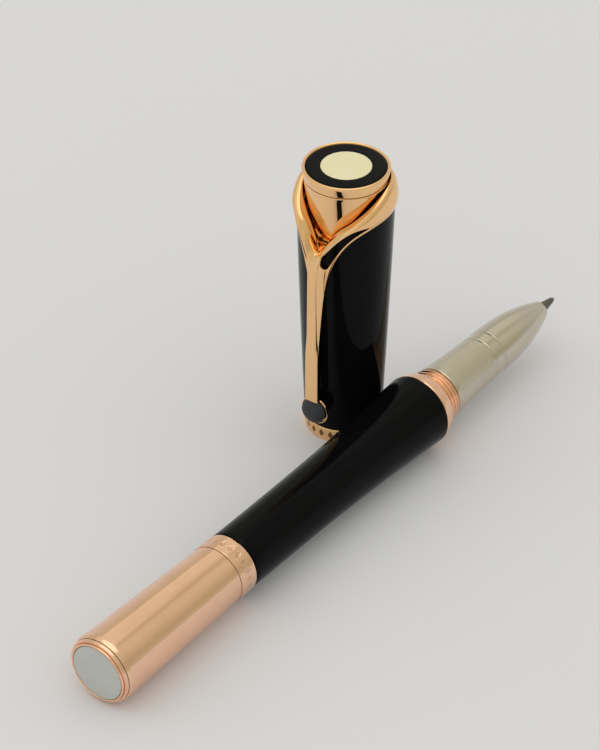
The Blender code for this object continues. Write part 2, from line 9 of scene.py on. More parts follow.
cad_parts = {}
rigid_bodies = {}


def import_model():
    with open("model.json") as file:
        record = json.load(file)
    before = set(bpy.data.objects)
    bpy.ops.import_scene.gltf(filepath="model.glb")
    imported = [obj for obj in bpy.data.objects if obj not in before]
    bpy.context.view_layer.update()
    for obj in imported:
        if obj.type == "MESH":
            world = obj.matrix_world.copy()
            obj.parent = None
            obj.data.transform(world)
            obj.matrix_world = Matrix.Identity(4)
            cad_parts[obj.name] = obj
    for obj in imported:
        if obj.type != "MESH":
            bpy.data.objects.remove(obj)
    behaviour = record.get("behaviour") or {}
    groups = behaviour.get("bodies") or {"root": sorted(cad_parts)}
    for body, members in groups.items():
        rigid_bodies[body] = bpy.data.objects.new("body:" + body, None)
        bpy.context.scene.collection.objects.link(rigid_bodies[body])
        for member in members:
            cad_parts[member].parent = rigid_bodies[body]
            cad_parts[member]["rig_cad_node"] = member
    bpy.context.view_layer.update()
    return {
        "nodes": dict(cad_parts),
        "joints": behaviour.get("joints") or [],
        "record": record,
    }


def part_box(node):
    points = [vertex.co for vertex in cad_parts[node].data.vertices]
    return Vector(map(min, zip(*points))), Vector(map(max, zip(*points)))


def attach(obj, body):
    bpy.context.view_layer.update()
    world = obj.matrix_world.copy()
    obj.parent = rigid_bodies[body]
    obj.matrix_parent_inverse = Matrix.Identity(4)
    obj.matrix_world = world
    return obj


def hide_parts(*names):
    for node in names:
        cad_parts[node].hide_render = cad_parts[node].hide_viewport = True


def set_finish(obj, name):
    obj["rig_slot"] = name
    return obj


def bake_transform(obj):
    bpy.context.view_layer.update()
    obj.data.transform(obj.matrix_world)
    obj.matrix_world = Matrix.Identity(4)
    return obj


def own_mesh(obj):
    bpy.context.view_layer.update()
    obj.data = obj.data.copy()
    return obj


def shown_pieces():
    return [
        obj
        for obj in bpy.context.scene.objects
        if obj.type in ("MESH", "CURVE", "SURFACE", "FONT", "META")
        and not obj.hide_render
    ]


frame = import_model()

MM = 0.001
# Facets round a turned piece.
FINE = 160
RING_FINE = 720
GRIP_FINE = 768
HEAD_FINE = 240
INLAY_FINE = 200
STONE_FINE = 128
POINT_FINE = 96
BALL_FINE = 48
# Edges that turn by more than this many degrees are shaded sharp.
SHARP_ANGLE = 32.0

JOINTS = {joint["name"]: joint for joint in frame["joints"]}
BODY_OF = {node: body for body, nodes in frame["record"]["behaviour"]["bodies"].items() for node in nodes}
SLOT_OF = {part["node"]: part["material_slot"] for part in frame["record"]["subparts"]}


# ------------------------------------------------------------ frames taken from the CAD

def pen_frame():
    """Local Z runs from the pen's rear end to its tip, on the pen's axis."""
    axis = Vector(JOINTS["section_turn"]["axis"]).normalized()
    ball = Vector(JOINTS["ball_roll"]["pos_m"])
    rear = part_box("end_disc")[0].x
    origin = ball - axis * ((ball.x - rear) / axis.x)
    down = Vector((axis.z, 0.0, -axis.x))
    side = axis.cross(down)
    return Matrix((
        (down.x, side.x, axis.x, origin.x),
        (down.y, side.y, axis.y, origin.y),
        (down.z, side.z, axis.z, origin.z),
        (0.0, 0.0, 0.0, 1.0),
    ))


def cap_frame():
    """Local Z is up the cap's axis from its open mouth, local X points out through the clip."""
    low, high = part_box("cap_top_bezel")
    centre = (low + high) / 2
    clip = Vector(JOINTS["clip_flex"]["pos_m"])
    turn = math.atan2(clip.y - centre.y, clip.x - centre.x)
    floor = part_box("cap_rim_ring")[0].z
    return Matrix.Translation((centre.x, centre.y, floor)) @ Matrix.Rotation(turn, 4, "Z")


PEN = pen_frame()
CAP = cap_frame()


def local_points(node, place):
    """A CAD node's vertices in a local frame, in millimetres, as an array."""
    world = np.array([v.co for v in frame["nodes"][node].data.vertices], float)
    inverse = np.array(place.inverted(), float)
    return (world @ inverse[:3, :3].T + inverse[:3, 3]) / MM


def span(node, place):
    """(lowest station, highest station, largest radius, smallest radius) of a turned node."""
    points = local_points(node, place)
    radius = np.hypot(points[:, 0], points[:, 1])
    return points[:, 2].min(), points[:, 2].max(), radius.max(), radius.min()


def radius_at(node, place, station):
    """Outer radius of a turned node near a station."""
    points = local_points(node, place)
    radius = np.hypot(points[:, 0], points[:, 1])
    near = np.abs(points[:, 2] - station)
    return radius[near < near.min() + 0.05].max()


# ------------------------------------------------------------------------ mesh helpers

FILLET_STEPS = 4


def fillet(points, radius, closed=False):
    """Rounds a profile's corners; a third number on a point overrides the radius there."""
    result = []
    count = len(points)
    for i, point in enumerate(points):
        here = np.array(point[:2], float)
        own = point[2] if len(point) > 2 else radius
        if own <= 0 or (not closed and i in (0, count - 1)):
            result.append(tuple(here))
            continue
        before = np.array(points[i - 1][:2], float) - here
        after = np.array(points[(i + 1) % count][:2], float) - here
        reach = min(own, 0.45 * np.linalg.norm(before), 0.45 * np.linalg.norm(after))
        first = here + before / np.linalg.norm(before) * reach
        last = here + after / np.linalg.norm(after) * reach
        for step in range(FILLET_STEPS + 1):
            t = step / FILLET_STEPS
            spot = (1 - t) ** 2 * first + 2 * t * (1 - t) * here + t ** 2 * last
            result.append(tuple(spot))
    return result


def spaced(first, last, count):
    """Evenly spaced numbers, both ends included."""
    return [first + (last - first) * i / (count - 1) for i in range(count)]


def mesh_object(name, points, faces, place, body, sharp=SHARP_ANGLE):
    mesh = bpy.data.meshes.new(name)
    mesh.from_pydata(points, [], faces)
    shape = bmesh.new()
    shape.from_mesh(mesh)
    bmesh.ops.recalc_face_normals(shape, faces=shape.faces)
    shape.to_mesh(mesh)
    shape.free()
    mesh.shade_smooth()
    mesh.set_sharp_from_angle(angle=math.radians(sharp))
    obj = bpy.data.objects.new(name, mesh)
    bpy.context.scene.collection.objects.link(obj)
    obj.matrix_world = place
    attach(obj, body)
    return obj


def lathe(node, profile, place, closed, segments=FINE, warp=None, sharp=SHARP_ANGLE, cut=0.0):
    """Spin a profile about local Z and let it stand for a CAD node of the same name.

    warp(radius, station, angle) gives new radii; it takes and returns arrays. Where the warp takes off the
    depth cut, the point attribute that the metals read is 1, and they paint shade into these engraved
    recesses by it.
    """
    profile = np.array(profile, float)
    angles = np.linspace(0, 2 * math.pi, segments, endpoint=False)
    points = []
    depths = []
    rows = []
    for radius, station in profile:
        if radius < 1e-6:
            rows.append([len(points)])
            depths.append(0.0)
            points.append((0.0, 0.0, station * MM))
            continue
        rows.append(list(range(len(points), len(points) + segments)))
        radii = np.full(segments, radius)
        if warp is not None:
            radii = warp(radii, station, angles)
        depths += [(radius - r) / cut if cut else 0.0 for r in radii]
        for r, angle in zip(radii, angles):
            points.append((r * math.cos(angle) * MM, r * math.sin(angle) * MM, station * MM))
    faces = []
    last = len(rows) if closed else len(rows) - 1
    for i in range(last):
        here = rows[i]
        there = rows[(i + 1) % len(rows)]
        for j in range(segments):
            k = (j + 1) % segments
            if len(here) == 1 and len(there) == 1:
                continue
            if len(here) == 1:
                faces.append((here[0], there[k], there[j]))
            elif len(there) == 1:
                faces.append((here[j], here[k], there[0]))
            else:
                faces.append((here[j], here[k], there[k], there[j]))
    obj = mesh_object(node + "_fine", points, faces, place, BODY_OF[node], sharp)
    if cut:
        engraving_painted_shade = obj.data.attributes.new("engraving_painted_shade", "FLOAT", "POINT")
        engraving_painted_shade.data.foreach_set("value", depths)
    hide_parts(node)
    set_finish(obj, SLOT_OF[node])
    return obj


# --------------------------------------------------------------------------- materials

def node_tools(name):
    result = bpy.data.materials.new(name)
    result.use_nodes = True
    tree = result.node_tree
    shader = tree.nodes["Principled BSDF"]
    return result, tree, shader


def noise(tree, coordinates, scale, detail=3.0, stretch=(1.0, 1.0, 1.0)):
    """Noise in object space; scale counts features per metre."""
    mapping = tree.nodes.new("ShaderNodeMapping")
    mapping.inputs["Scale"].default_value = stretch
    texture = tree.nodes.new("ShaderNodeTexNoise")
    texture.inputs["Scale"].default_value = scale
    texture.inputs["Detail"].default_value = detail
    tree.links.new(coordinates, mapping.inputs["Vector"])
    tree.links.new(mapping.outputs["Vector"], texture.inputs["Vector"])
    return texture.outputs["Fac"]


def remap(tree, value, low, high, from_low=0.35, from_high=0.65):
    node = tree.nodes.new("ShaderNodeMapRange")
    node.inputs["From Min"].default_value = from_low
    node.inputs["From Max"].default_value = from_high
    node.inputs["To Min"].default_value = low
    node.inputs["To Max"].default_value = high
    tree.links.new(value, node.inputs["Value"])
    return node.outputs["Result"]


def mix_colour(tree, factor, first, second):
    node = tree.nodes.new("ShaderNodeMix")
    node.data_type = "RGBA"
    if isinstance(factor, float):
        node.inputs["Factor"].default_value = factor
    else:
        tree.links.new(factor, node.inputs["Factor"])
    for slot, value in (("A", first), ("B", second)):
        if isinstance(value, tuple):
            node.inputs[slot].default_value = (*value, 1.0)
        else:
            tree.links.new(value, node.inputs[slot])
    return node.outputs["Result"]


def bump(tree, shader, height, strength, distance):
    node = tree.nodes.new("ShaderNodeBump")
    node.inputs["Strength"].default_value = strength
    node.inputs["Distance"].default_value = distance
    tree.links.new(height, node.inputs["Height"])
    tree.links.new(node.outputs["Normal"], shader.inputs["Normal"])


def object_coordinates(tree):
    return tree.nodes.new("ShaderNodeTexCoord").outputs["Object"]


def painted_crevice_shade(tree, distance):
    """Painted shade mask: 1 in the open and less inside grooves and corners closer than distance."""
    node = tree.nodes.new("ShaderNodeAmbientOcclusion")
    node.samples = 4
    node.inputs["Distance"].default_value = distance
    return node.outputs["AO"]


# Painted shade: colour mixed into engraved recesses by their depth, so the engraving reads darker.
PAINTED_ENGRAVING_SHADE = (0.26, 0.12, 0.045)
# How far the painted shade in grooves and corners reaches.
PAINTED_SHADE_REACH = 0.18
GRAIN_STRETCH = (60.0, 60.0, 1.0)
GRAIN_STRENGTH = 0.006
GRAIN_DEPTH = 0.02


def metal(name, colour, deep, roughness):
    """Polished plated metal: cloudy handling marks, fine polishing grain, and shade painted darker into
    grooves and corners.
    """
    result, tree, shader = node_tools(name)
    where = object_coordinates(tree)
    clouds = noise(tree, where, 160.0, 4.0)
    tint = mix_colour(tree, remap(tree, clouds, 0.0, 0.10), colour, deep)
    # Painted shade: grooves and corners get a darker colour from the ambient occlusion mask.
    groove = mix_colour(tree, 0.4, deep, colour)
    shade = mix_colour(tree, painted_crevice_shade(tree, PAINTED_SHADE_REACH * MM), groove, tint)
    # Painted shade in the engraved lozenges, from the point attribute that lathe writes.
    engraving_painted_shade = tree.nodes.new("ShaderNodeAttribute")
    engraving_painted_shade.attribute_name = "engraving_painted_shade"
    shade = mix_colour(tree, engraving_painted_shade.outputs["Fac"], shade, PAINTED_ENGRAVING_SHADE)
    tree.links.new(shade, shader.inputs["Base Color"])
    shader.inputs["Metallic"].default_value = 1.0
    smears = noise(tree, where, 420.0, 5.0, (1.0, 1.0, 0.35))
    spread = remap(tree, smears, roughness * 0.8, roughness * 1.35)
    tree.links.new(spread, shader.inputs["Roughness"])
    lines = noise(tree, where, 900.0, 2.0, GRAIN_STRETCH)
    bump(tree, shader, lines, GRAIN_STRENGTH, GRAIN_DEPTH * MM)
    return result


DUST_SHADE = (0.25, 0.25, 0.25)


def lacquer(name, colour, roughness=0.035, dust=0.02):
    """Deep gloss resin with faint hairlines and a few specks of dust."""
    result, tree, shader = node_tools(name)
    where = object_coordinates(tree)
    depth = noise(tree, where, 90.0, 2.0)
    lighter = tuple(min(1.0, c * 1.4 + 0.0006) for c in colour)
    base = mix_colour(tree, remap(tree, depth, 0.0, 1.0), colour, lighter)
    specks = noise(tree, where, 2600.0, 0.0)
    speck_mask = remap(tree, specks, 0.0, dust, 0.78, 0.82)
    shade = mix_colour(tree, speck_mask, base, DUST_SHADE)
    tree.links.new(shade, shader.inputs["Base Color"])
    smears = noise(tree, where, 300.0, 4.0, (1.0, 1.0, 0.3))
    tree.links.new(remap(tree, smears, roughness * 0.6, roughness * 1.8), shader.inputs["Roughness"])
    shader.inputs["IOR"].default_value = 1.22
    shader.inputs["Specular IOR Level"].default_value = 0.28
    lines = noise(tree, where, 1500.0, 1.0, (1.0, 1.0, 12.0))
    bump(tree, shader, lines, 0.015, 0.01 * MM)
    return result


def plain(name, colour, second, roughness, scale=500.0, bump_strength=0.1):
    """Moulded or matt material: two close colours and a fine surface grain."""
    result, tree, shader = node_tools(name)
    where = object_coordinates(tree)
    tint = mix_colour(tree, remap(tree, noise(tree, where, scale, 4.0), 0.0, 1.0), colour, second)
    tree.links.new(tint, shader.inputs["Base Color"])
    fine = noise(tree, where, scale * 6, 3.0)
    tree.links.new(remap(tree, fine, roughness * 0.85, roughness * 1.15), shader.inputs["Roughness"])
    bump(tree, shader, fine, bump_strength, GRAIN_DEPTH * MM)
    return result


MATERIALS = {
    "rose_gold": lambda: metal("rose_gold", (0.96, 0.61, 0.42), (0.60, 0.27, 0.14), 0.035),
    "yellow_gold": lambda: metal("yellow_gold", (1.0, 0.63, 0.315), (0.50, 0.20, 0.07), 0.03),
    "champagne": lambda: metal("champagne", (0.64, 0.585, 0.485), (0.36, 0.30, 0.21), 0.10),
    "raw_brass": lambda: metal("raw_brass", (0.68, 0.50, 0.22), (0.36, 0.24, 0.08), 0.30),
    "spring_steel": lambda: metal("spring_steel", (0.56, 0.56, 0.56), (0.2, 0.2, 0.2), 0.25),
    "refill_metal": lambda: metal("refill_metal", (0.60, 0.60, 0.60), (0.25, 0.25, 0.25), 0.32),
    # Painted shade: the steel tip's base colour is painted dark for its dark reflections.
    "tip_steel": lambda: metal("tip_steel", (0.16, 0.15, 0.13), (0.05, 0.05, 0.04), 0.32),
    "ball_carbide": lambda: metal("ball_carbide", (0.30, 0.30, 0.31), (0.1, 0.1, 0.1), 0.12),
    "black_resin": lambda: lacquer("black_resin", (0.0022, 0.0023, 0.0028)),
    "pale_disc": lambda: plain("pale_disc", (0.49, 0.50, 0.46), (0.52, 0.53, 0.49), 0.30, 90.0, 0.002),
    "cream_inlay": lambda: plain("cream_inlay", (0.90, 0.81, 0.47), (0.93, 0.85, 0.54), 0.35, 200.0, 0.01),
    "dark_stone": lambda: lacquer("dark_stone", (0.045, 0.047, 0.05), 0.12, 0.0),
    "black_plastic": lambda: plain("black_plastic", (0.012, 0.012, 0.012), (0.02, 0.02, 0.02), 0.5),
    "white_plastic": lambda: plain("white_plastic", (0.78, 0.78, 0.75), (0.82, 0.82, 0.80), 0.45),
    "ink_fibre": lambda: plain("ink_fibre", (0.01, 0.015, 0.08), (0.03, 0.04, 0.16), 0.9, 900.0, 0.6),
    "rubber": lambda: plain("rubber", (0.012, 0.012, 0.012), (0.02, 0.02, 0.02), 0.7, 900.0, 0.2),
}


def finish_with(obj, slot, made):
    """Give a piece its slot's material, making each material once."""
    if slot not in made:
        made[slot] = MATERIALS[slot]()
    obj.data.materials.clear()
    obj.data.materials.append(made[slot])


# ------------------------------------------------------------------------ pen: rear end

# How far visible rims reach into the assembly gap beside them, so joint lines stay thin.
JOINT_CLOSING = 0.165
LOZENGE_HALF_WIDTH = 0.5
LOZENGE_HALF_HEIGHT = 0.75
LOZENGE_DEPTH = 0.13
FAINT_LOZENGE_DEPTH = 0.05
LOZENGE_SOFTNESS = 0.16
REAR_LOZENGES = 22
# Rear disc: height of its dome and half the angle it spans, in radians.
DISC_DOME = 0.42
DISC_DOME_ANGLE = 1.0
# Beads of the rear bezel: radius of the bead's centre, its distance from the rear, bead radius.
BEZEL_BEADS = ((5.03, 0.22, 0.19), (5.37, 0.62, 0.22))
BEZEL_OUTSIDE = 5.62


def lozenge_warp(count, middle, depth):
    """Engraves a row of lozenges round a ring at one station."""
    def warp(radii, station, angles):
        pitch = 2 * math.pi / count
        nearest = np.abs((angles + pitch / 2) % pitch - pitch / 2)
        across = nearest * radii / LOZENGE_HALF_WIDTH
        along = abs(station - middle) / LOZENGE_HALF_HEIGHT
        inside = np.clip((1.0 - across - along) / LOZENGE_SOFTNESS, 0.0, 1.0)
        return radii - depth * inside * inside * (3 - 2 * inside)
    return warp


def build_end_disc():
    low, high, radius, _ = span("end_disc", PEN)
    wide = radius / math.sin(DISC_DOME_ANGLE)
    deep = DISC_DOME / (1 - math.cos(DISC_DOME_ANGLE))
    dome = [(wide * math.sin(t), low + deep * (1 - math.cos(t))) for t in spaced(0.0, DISC_DOME_ANGLE, 14)]
    edge = [(radius - 0.05, low + 0.95 * DISC_DOME), (radius, low + DISC_DOME + 0.1), (radius, high)]
    lathe("end_disc", dome[:-1] + fillet(edge, 0.1) + [(0.0, high)], PEN, False)


def build_end_bezel():
    low, high, _, bore = span("end_bezel", PEN)
    profile = [(bore, high), (bore, low + 0.12, 0.05)]
    for middle, station, size in BEZEL_BEADS:
        for angle in spaced(math.radians(205), math.radians(10), 12):
            profile.append((middle + size * math.cos(angle), low + station - size * math.sin(angle), 0.0))
    profile += [(BEZEL_OUTSIDE, low + 0.95, 0.05), (BEZEL_OUTSIDE, high)]
    lathe("end_bezel", fillet(profile, 0.0, True), PEN, True)


def build_rear_sleeve():
    low, high, radius, bore = span("rear_sleeve", PEN)
    front = radius_at("rear_sleeve", PEN, high)
    profile = [(bore, high), (bore, low)]
    profile += [(radius - 0.22, low - JOINT_CLOSING, 0.05), (radius, low + 0.42, 0.5)]
    for s in spaced(low + 1.5, high - 0.4, 24):
        part = (s - low) / (high - low)
        profile.append((radius + (front - radius) * part, s, 0.0))
    profile += [(front, high + JOINT_CLOSING, 0.06)]
    lathe("rear_sleeve", fillet(profile, 0.05, True), PEN, True)


def build_rear_ring():
    low, high, radius, bore = span("rear_ring", PEN)
    profile = [(bore, high), (bore, low), (radius - 0.06, low), (radius - 0.01, low + 0.05)]
    profile += [(radius, s) for s in spaced(low + 0.25, high - 0.25, 44)]
    profile += [(radius - 0.04, high - 0.1), (radius - 0.12, high)]
    warp = lozenge_warp(REAR_LOZENGES, (low + high) / 2, FAINT_LOZENGE_DEPTH)

    def outer_only(radii, station, angles):
        return warp(radii, station, angles) if radii[0] > radius - 0.01 else radii
    # The painted shade in these lozenges stays at a fifth of full strength.
    lathe("rear_ring", profile, PEN, True, RING_FINE, outer_only, cut=5.0 * FAINT_LOZENGE_DEPTH)


# ---------------------------------------------------------------------------- pen: barrel

# Power of the barrel's curve: the higher, the later it flares towards the front.
BARREL_FLARE = 2.8
THREAD_PITCH = 0.80
THREAD_CUT = 0.36


def build_barrel():
    low, high, front, bore = span("barrel_shell", PEN)
    rear = radius_at("barrel_shell", PEN, low)
    profile = [(bore, high), (bore, low), (rear - 0.06, low, 0.05)]
    for s in spaced(low + 0.15, high - 0.35, 72):
        part = (s - low) / (high - low)
        profile.append((rear + (front - rear) * part ** BARREL_FLARE, s, 0.0))
    profile += [(front, high, 0.3)]
    lathe("barrel_shell", fillet(profile, 0.05, True), PEN, True)


def build_front_ring():
    low, high, radius, bore = span("front_ring", PEN)
    tip = radius_at("front_ring", PEN, high)
    profile = [(bore, high), (bore, low), (radius - 0.1, low, 0.05), (radius, low + 0.22, 0.12)]
    profile += [(tip + 0.12, high - 0.35, 0.2), (tip - 0.1, high, 0.2)]
    lathe("front_ring", fillet(profile, 0.05, True), PEN, True)


def build_thread_bush():
    """The cap's thread on the barrel: a real helix with run-outs at both ends."""
    low, high, radius, bore = span("barrel_bush", PEN)
    flange = span("front_ring", PEN)[1]
    root = radius - THREAD_CUT
    first, last = flange + 0.35, high - 0.25

    def helix(radii, station, angles):
        if radii[0] < root - 0.01 or not first - 0.4 < station < last + 0.4:
            return radii
        turn = (station - first) / THREAD_PITCH - angles / (2 * math.pi)
        wave = np.abs((turn % 1.0) - 0.5) * 2
        tooth = np.clip((0.78 - wave) / 0.5, 0.0, 1.0)
        fade = min(1.0, max(0.0, (station - first + 0.3) / 0.3), max(0.0, (last + 0.2 - station) / 0.3))
        return np.full_like(radii, root) + THREAD_CUT * fade * (0.12 + 0.88 * tooth * tooth * (3 - 2 * tooth))
    outer = [(root, s) for s in spaced(flange + 0.1, high - 0.05, 84)]
    wall = span("section_tail", PEN)[2] + 0.12
    profile = [(wall, high), (wall, low + 4.2), (bore, low + 3.8), (bore, low)]
    tail = radius_at("barrel_bush", PEN, low)
    profile += [(tail - 0.15, low), (tail, low + 0.15), (tail, flange + 0.02)] + outer + [(root - 0.1, high)]
    lathe("barrel_bush", profile, PEN, True, HEAD_FINE, helix)


# ------------------------------------------------------------------- pen: grip section

# Engine turning: lines round the grip, their depth, how far and over what length they sway.
GUILLOCHE_LINES = 96
GUILLOCHE_DEPTH = 0.012
GUILLOCHE_WAVE = 6.0
GUILLOCHE_LENGTH = 9.0
# Turned groove: distance behind the grip's front edge, depth and half width.
GROOVE_SETBACK = 2.6
GROOVE_DEPTH = 0.17
GROOVE_HALF_WIDTH = 0.10
GRIP_SHARP_ANGLE = 60.0
# Nose: radius at its open end and power of its curve.
NOSE_END_RADIUS = 1.55
NOSE_CURVE = 2.3


def build_grip_section():
    low, high, rear, bore = span("grip_section", PEN)
    front = radius_at("grip_section", PEN, high)
    groove = high - GROOVE_SETBACK
    edge = low - JOINT_CLOSING
    profile = [(bore, high), (bore, low), (rear - 0.1, edge), (rear - 0.02, edge + 0.05)]
    for s in spaced(low + 0.16, high - 0.12, 110):
        part = (s - low) / (high - low)
        dip = GROOVE_DEPTH * math.exp(-(((s - groove) / GROOVE_HALF_WIDTH) ** 2))
        profile.append((rear + (front - rear) * part * (2 - part) - dip, s))
    profile += [(front - 0.04, high - 0.05), (front - 0.13, high)]

    def engine_turning(radii, station, angles):
        if radii[0] < front - 0.3 or station > groove - 0.4 or station < low + 0.5:
            return radii
        fade = min(1.0, (station - low - 0.5) / 0.5, (groove - 0.4 - station) / 0.5)
        sway = GUILLOCHE_WAVE * math.sin(2 * math.pi * (station - low) / GUILLOCHE_LENGTH)
        wave = np.cos(GUILLOCHE_LINES * angles + sway)
        return radii + GUILLOCHE_DEPTH * fade * (wave - 1.0)
    lathe("grip_section", profile, PEN, True, GRIP_FINE, engine_turning, GRIP_SHARP_ANGLE)


def build_nose_cone():
    low, high, rear, _ = span("nose_cone", PEN)
    edge = low - JOINT_CLOSING
    profile = [(1.22, high), (1.22, high - 7.8), (2.3, high - 8.3), (2.45, high - 12.0), (3.1, high - 12.5)]
    profile += [(3.1, low), (rear - 0.09, edge), (rear - 0.03, edge + 0.05)]
    for s in spaced(low + 0.15, high - 0.35, 64):
        part = (s - low) / (high - low)
        profile.append((rear - (rear - NOSE_END_RADIUS) * part ** NOSE_CURVE, s))
    lip = 0.34
    for angle in spaced(math.radians(12), math.radians(90), 8):
        out = NOSE_END_RADIUS - lip - 0.02 + lip * math.cos(angle)
        profile.append((out, high - lip + lip * math.sin(angle)))
    lathe("nose_cone", profile, PEN, True)


def build_writing_point():
    low, high, _, _ = span("refill_point", PEN)
    base = 1.04
    exit_station = span("nose_cone", PEN)[1]
    profile = [(0.25, low), (0.72, low), (0.72, low + 7.9), (1.1, low + 7.95), (1.1, exit_station - 0.9)]
    profile += [(base, exit_station - 0.75), (base, exit_station + 0.12)]
    for s in spaced(exit_station + 0.2, high - 0.12, 14):
        part = (s - exit_station) / (high - exit_station)
        profile.append((base + (0.46 - base) * part, s))
    profile += [(0.43, high - 0.03), (0.38, high), (0.37, high - 0.3), (0.25, high - 0.6)]
    lathe("refill_point", profile, PEN, True, POINT_FINE)


def build_writing_ball():
    low, high, radius, _ = span("writing_ball", PEN)
    middle = (low + high) / 2
    ball = [(radius * math.sin(t), middle - radius * math.cos(t)) for t in spaced(0.0, math.pi, 25)]
    ball[0] = (0.0, low)
    ball[-1] = (0.0, high)
    lathe("writing_ball", ball, PEN, False, BALL_FINE)


SPRING_TURNS = 9
SPRING_CLOSED_TURNS = 1.5
SPRING_STEPS_PER_TURN = 48
SPRING_SIDES = 12


def build_spring():
    """Steel coil behind the refill, with closed ends."""
    low, high, radius, bore = span("refill_spring", PEN)
    wire = (radius - bore) / 2
    middle = radius - wire
    first, last = low + wire, high - wire
    closed = SPRING_CLOSED_TURNS * 2.05 * wire
    steps = SPRING_STEPS_PER_TURN * SPRING_TURNS
    sides = SPRING_SIDES
    points = []
    for i in range(steps + 1):
        turn = SPRING_TURNS * i / steps
        knots = (0.0, SPRING_CLOSED_TURNS, SPRING_TURNS - SPRING_CLOSED_TURNS, SPRING_TURNS)
        station = float(np.interp(turn, knots, (first, first + closed, last - closed, last)))
        angle = 2 * math.pi * turn
        for k in range(sides):
            roll = 2 * math.pi * k / sides
            out = middle + wire * math.cos(roll)
            points.append((out * math.cos(angle) * MM, out * math.sin(angle) * MM,
                           (station + wire * math.sin(roll)) * MM))
    faces = [tuple(range(sides)), tuple(range(steps * sides, (steps + 1) * sides))]
    for i in range(steps):
        for k in range(sides):
            a, b = i * sides + k, i * sides + (k + 1) % sides
            faces.append((a, b, b + sides, a + sides))
    obj = mesh_object("refill_spring_fine", points, faces, PEN, "barrel")
    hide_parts("refill_spring")
    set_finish(obj, SLOT_OF["refill_spring"])
    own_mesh(obj)


# ---------------------------------------------------------------------------------- cap

SHELL_LOW, SHELL_HIGH, SHELL_HEAD, SHELL_BORE = span("cap_shell", CAP)
SHELL_FOOT = radius_at("cap_shell", CAP, SHELL_LOW)
SHELL_WAIST_HEIGHT = 26.0
SHELL_WAIST = radius_at("cap_shell", CAP, SHELL_WAIST_HEIGHT)


def shell_radius(height):
    """Smooth flare through the shell's foot, waist and head."""
    t = (height - SHELL_LOW) / (SHELL_HIGH - SHELL_LOW)
    m = (SHELL_WAIST_HEIGHT - SHELL_LOW) / (SHELL_HIGH - SHELL_LOW)
    a = (t - m) * (t - 1) / m * SHELL_FOOT
    b = t * (t - 1) / (m * (m - 1)) * SHELL_WAIST
    c = t * (t - m) / (1 - m) * SHELL_HEAD
    return a + b + c


RIM_LOZENGES = 24
RIM_LOZENGE_HEIGHT = 1.45


def build_cap_rim_ring():
    low, high, radius, bore = span("cap_rim_ring", CAP)
    foot = radius_at("cap_rim_ring", CAP, low)
    outer = []
    for s in spaced(low + 0.18, high - 0.1, 56):
        line = 0.06 * math.exp(-(((s - low - 0.42) / 0.07) ** 2))
        outer.append((foot + (radius - foot) * (s - low) / (high - low) - line, s))
    profile = [(bore, high), (bore, low + 0.25), (bore + 0.2, low)]
    profile += [(foot - 0.16, low), (foot - 0.05, low + 0.06)]
    profile += outer + [(radius - 0.08, high)]
    warp = lozenge_warp(RIM_LOZENGES, low + RIM_LOZENGE_HEIGHT, LOZENGE_DEPTH)

    def outer_only(radii, station, angles):
        return warp(radii, station, angles) if radii[0] > foot - 0.09 else radii
    # The painted shade in the lozenges reaches full strength at their full depth.
    lathe("cap_rim_ring", profile, CAP, True, RING_FINE, outer_only, cut=LOZENGE_DEPTH)


# Wall of the shell where it is thinned under the collar.
SHELL_RIM = 0.24
SHELL_COLUMNS = 288
SHELL_ROWS = 80


def notch_height(degrees):
    """Top edge of the black shell at an angle from the clip, just above the collar's windows."""
    return window_high(degrees) + 0.3 + 0.5 * min(1.0, degrees / 120.0)


def shell_bore(degrees, height):
    """Inside radius: the shell thins to a rim where the collar's channel sits inside it."""
    step = inner_edge(degrees)[1] - channel_depth(degrees) - 0.6
    share = min(1.0, max(0.0, (height - step + 0.6) / 0.6))
    return between(share, SHELL_BORE, shell_radius(height) - SHELL_RIM)


def build_cap_shell():
    """Black shell whose top edge dips in a V under the collar."""
    segments = SHELL_COLUMNS
    rows = SHELL_ROWS
    angles = np.linspace(-180.0, 180.0, segments, endpoint=False)
    points = []
    for layer in range(2):
        for row in range(rows):
            for angle in angles:
                height = between(row / (rows - 1), SHELL_LOW, notch_height(abs(angle)))
                radius = shell_radius(height) - (0.06 if row == 0 else 0.0)
                if layer == 1:
                    radius = shell_bore(abs(angle), height)
                points.append(cylinder_point(radius, angle, height))
    faces = []

    def at(layer, row, column):
        return (layer * rows + row) * segments + column % segments
    for column in range(segments):
        for row in range(rows - 1):
            for layer in range(2):
                faces.append((at(layer, row, column), at(layer, row, column + 1),
                              at(layer, row + 1, column + 1), at(layer, row + 1, column)))
        for row in (0, rows - 1):
            faces.append((at(0, row, column), at(0, row, column + 1),
                          at(1, row, column + 1), at(1, row, column)))
    obj = mesh_object("cap_shell_fine", points, faces, CAP, "cap")
    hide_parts("cap_shell")
    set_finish(obj, SLOT_OF["cap_shell"])


def build_cap_cone():
    low, high, radius, _ = span("cap_cone", CAP)
    base = radius_at("cap_cone", CAP, low)
    profile = [(0.0, high), (radius - 0.08, high, 0.05), (radius, high - 0.12, 0.06)]
    for part in spaced(0.03, 1.0, 30):
        profile.append((radius - (radius - base) * part, high - (high - low) * part, 0.0))
    profile += [(0.0, low)]
    lathe("cap_cone", fillet(profile, 0.05), CAP, False)


def build_cap_top_bezel():
    low, high, radius, _ = span("cap_top_bezel", CAP)
    foot = span("cap_cone", CAP)[2] + 0.03
    rim = radius + 0.07
    profile = [(radius - 0.9, low), (foot - 0.1, low, 0.06), (foot, low + 0.14, 0.05)]
    profile += [(rim, high - 0.42, 0.12), (rim - 0.03, high - 0.14, 0.16)]
    profile += [(rim - 0.27, high + 0.02, 0.14), (rim - 0.52, high - 0.1, 0.12)]
    profile += [(rim - 0.62, high - 0.34), (rim - 0.62, high - 0.95), (rim - 1.0, high - 0.95)]
    lathe("cap_top_bezel", fillet(profile, 0.05, True), CAP, True, HEAD_FINE)


